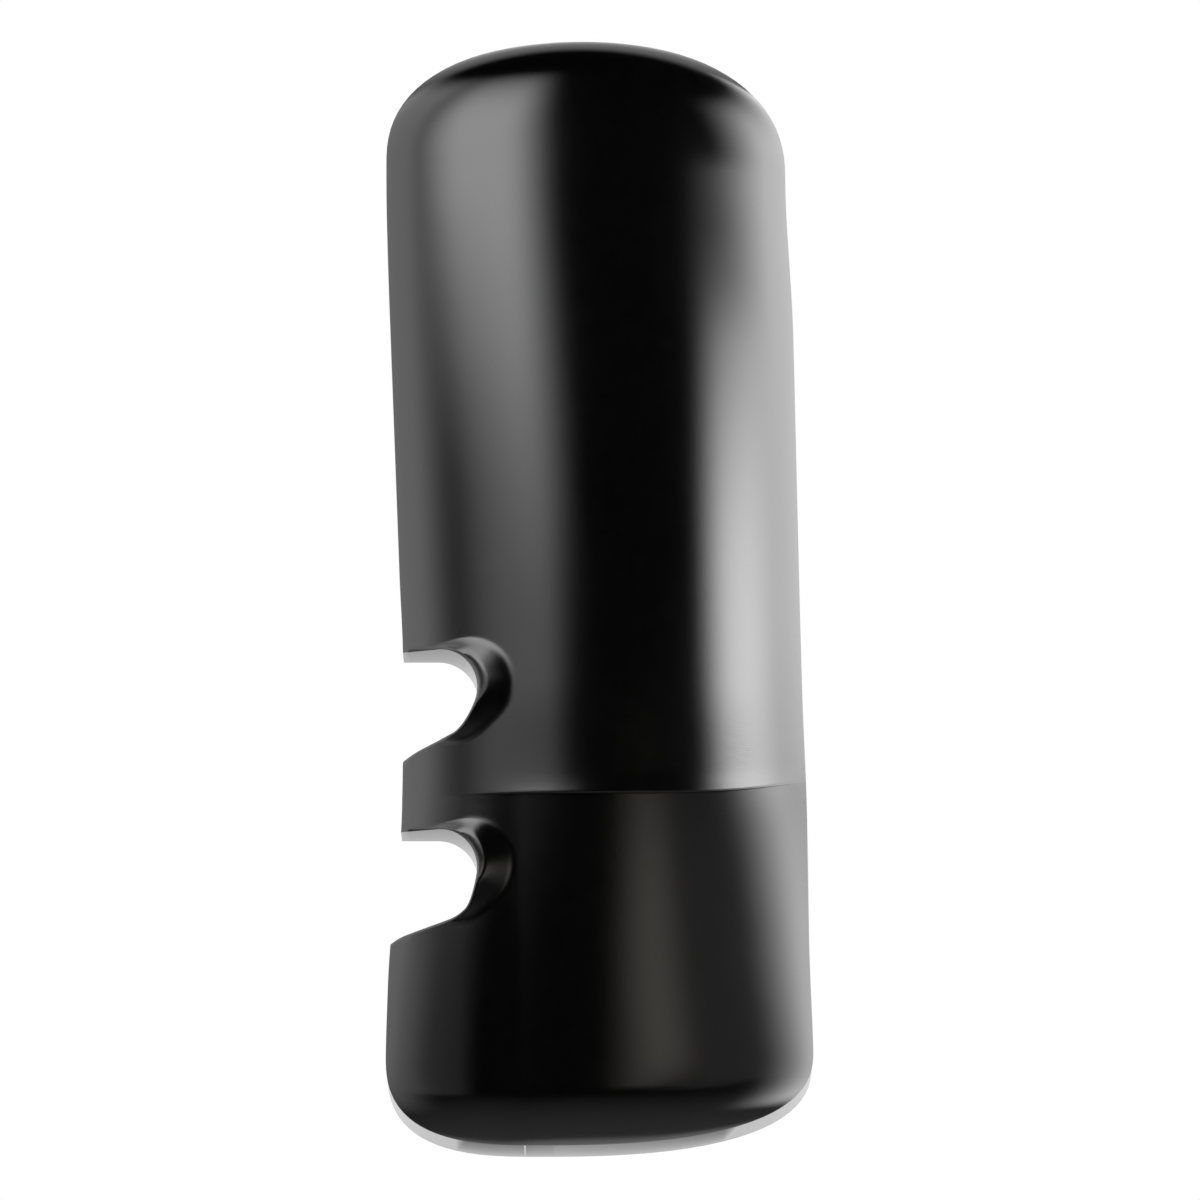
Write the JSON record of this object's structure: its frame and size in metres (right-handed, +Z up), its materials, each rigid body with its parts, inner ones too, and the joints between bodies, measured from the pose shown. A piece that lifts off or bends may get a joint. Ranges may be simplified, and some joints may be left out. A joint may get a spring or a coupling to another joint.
{
  "type": "vehicle door mirror head",
  "caption": "Tall domed door mirror head for a commercial vehicle, with a powered main glass over a wide-angle glass and arm cradles on the cab side.",
  "frame": {"origin": "on the axis of the lower arm, halfway along its cradle", "axes": "+Z up, the cover faces -Y, the glasses face +Y, the cab is on the -X side"},
  "size_m": [0.2298, 0.1114, 0.598],
  "materials": {
    "cover_plastic": "satin moulded black",
    "frame_plastic": "fine grained black",
    "cast_alloy": "die cast, shot blasted",
    "plated_steel": "zinc plated",
    "spring_steel": "blued spring steel",
    "loom": "taped sleeve",
    "connector_plastic": "moulded grey-black",
    "loom_clip": "nylon",
    "actuator_plastic": "glass filled",
    "actuator_lid_plastic": "glass filled",
    "motor_steel": "plated can",
    "cross_acetal": "natural acetal",
    "jack_acetal": "natural acetal",
    "holder_plastic": "moulded black",
    "heater_foil": "amber film with printed track",
    "mirror_glass": "silvered"
  },
  "bodies": {
    "head": {"cover": "cover_plastic", "rear_frame": "frame_plastic", "carrier": "cast_alloy", "cover_screws": "plated_steel", "frame_screws": "plated_steel", "cover_clips": "spring_steel", "main_actuator_base": "actuator_plastic", "main_actuator_lid": "actuator_lid_plastic", "main_motors": "motor_steel", "main_actuator_screws": "plated_steel", "wide_actuator_base": "actuator_plastic", "wide_actuator_lid": "actuator_lid_plastic", "wide_motors": "motor_steel", "wide_actuator_screws": "plated_steel", "harness": "loom", "connector": "connector_plastic", "harness_clips": "loom_clip"},
    "main_cross": {"main_cross": "cross_acetal"},
    "main_mirror": {"main_holder": "holder_plastic", "main_heater": "heater_foil", "main_glass": "mirror_glass"},
    "main_tilt_jack": {"main_tilt_jack": "jack_acetal"},
    "main_pan_jack": {"main_pan_jack": "jack_acetal"},
    "wide_cross": {"wide_cross": "cross_acetal"},
    "wide_mirror": {"wide_holder": "holder_plastic", "wide_heater": "heater_foil", "wide_glass": "mirror_glass"},
    "wide_tilt_jack": {"wide_tilt_jack": "jack_acetal"},
    "wide_pan_jack": {"wide_pan_jack": "jack_acetal"}
  },
  "joints": [
    {"name": "main_tilt", "type": "hinge", "parent": "head", "child": "main_cross", "pos_m": [0.11475, -0.0003, 0.2445], "axis": [1, 0, 0], "range_deg": [-8, 8]},
    {"name": "main_pan", "type": "hinge", "parent": "main_cross", "child": "main_mirror", "pos_m": [0.11475, -0.0003, 0.2445], "axis": [0, 0, 1], "range_deg": [-8, 8]},
    {"name": "main_tilt_jack_slide", "type": "slide", "parent": "head", "child": "main_tilt_jack", "axis": [0, 1, 0], "range_m": [-0.0048, 0.0048]},
    {"name": "main_pan_jack_slide", "type": "slide", "parent": "head", "child": "main_pan_jack", "axis": [0, 1, 0], "range_m": [-0.0048, 0.0048]},
    {"name": "wide_tilt", "type": "hinge", "parent": "head", "child": "wide_cross", "pos_m": [0.11475, -0.0003, -0.0455], "axis": [1, 0, 0], "range_deg": [-8, 8]},
    {"name": "wide_pan", "type": "hinge", "parent": "wide_cross", "child": "wide_mirror", "pos_m": [0.11475, -0.0003, -0.0455], "axis": [0, 0, 1], "range_deg": [-8, 8]},
    {"name": "wide_tilt_jack_slide", "type": "slide", "parent": "head", "child": "wide_tilt_jack", "axis": [0, 1, 0], "range_m": [-0.0048, 0.0048]},
    {"name": "wide_pan_jack_slide", "type": "slide", "parent": "head", "child": "wide_pan_jack", "axis": [0, 1, 0], "range_m": [-0.0048, 0.0048]}
  ],
  "couplings": [
    {"joint": "main_tilt_jack_slide", "follows": "main_tilt", "m_per_rad": -0.034},
    {"joint": "main_pan_jack_slide", "follows": "main_pan", "m_per_rad": 0.034},
    {"joint": "wide_tilt_jack_slide", "follows": "wide_tilt", "m_per_rad": -0.034},
    {"joint": "wide_pan_jack_slide", "follows": "wide_pan", "m_per_rad": 0.034}
  ]
}
